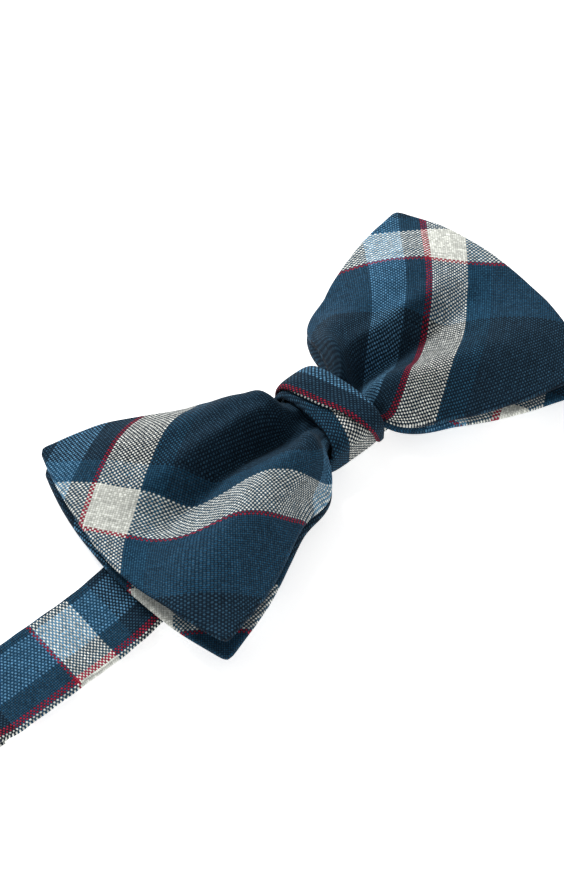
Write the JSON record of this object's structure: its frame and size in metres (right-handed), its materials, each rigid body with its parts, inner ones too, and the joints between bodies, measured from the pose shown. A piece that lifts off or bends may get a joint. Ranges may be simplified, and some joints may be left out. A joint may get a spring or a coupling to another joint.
{
  "type": "bow tie",
  "caption": "Pre-tied butterfly bow tie in woven plaid cotton with a knot wrap and an adjustable neckband that closes with a metal hook and eye.",
  "frame": {"origin": "on the underside of the neckband's lower layer, under the middle of the knot, where the tie lies on a table", "axes": "+X along the bow towards its right wing, +Y towards the bow's upper edge, +Z out of the bow's front, away from the neck"},
  "size_m": [0.2881, 0.0689, 0.019],
  "materials": {
    "plaid_cotton": "plain-weave cotton plaid in navy, blue, white and red",
    "interlining": "brushed cotton interlining",
    "sewing_thread": "twisted navy sewing thread",
    "plated_metal": "nickel-plated, lightly brushed"
  },
  "bodies": {
    "neckband": {"neckband_sleeve": "plaid_cotton", "neckband_interlining": "interlining", "eye_hem_seam": "sewing_thread"},
    "bow": {"front_blade_face": "plaid_cotton", "front_blade_interlining": "interlining", "front_blade_back": "plaid_cotton", "rear_blade_face": "plaid_cotton", "rear_blade_interlining": "interlining", "rear_blade_back": "plaid_cotton", "gather_thread": "sewing_thread", "knot_wrap": "plaid_cotton", "knot_overlap": "plaid_cotton", "knot_padding": "interlining", "knot_closing_stitch": "sewing_thread"},
    "slider": {"band_slider": "plated_metal", "slider_tab": "plaid_cotton", "slider_tab_seam": "sewing_thread"},
    "eye": {"band_eye": "plated_metal"},
    "hook": {"band_hook": "plated_metal"}
  },
  "joints": [
    {"name": "bow_slide", "type": "slide", "parent": "neckband", "child": "bow", "axis": [1, 0, 0], "range_m": [-0.006, 0.006]},
    {"name": "slider_slide", "type": "slide", "parent": "neckband", "child": "slider", "axis": [1, 0, 0], "range_m": [0, 0.03]},
    {"name": "eye_tilt", "type": "hinge", "parent": "neckband", "child": "eye", "pos_m": [-0.122, -0.0072, 0.00425], "axis": [0, 1, 0], "range_deg": [0, 80]},
    {"name": "hook_tilt", "type": "hinge", "parent": "neckband", "child": "hook", "pos_m": [-0.208, -0.0072, 0.0026], "axis": [0, 1, 0], "range_deg": [0, 80]}
  ]
}
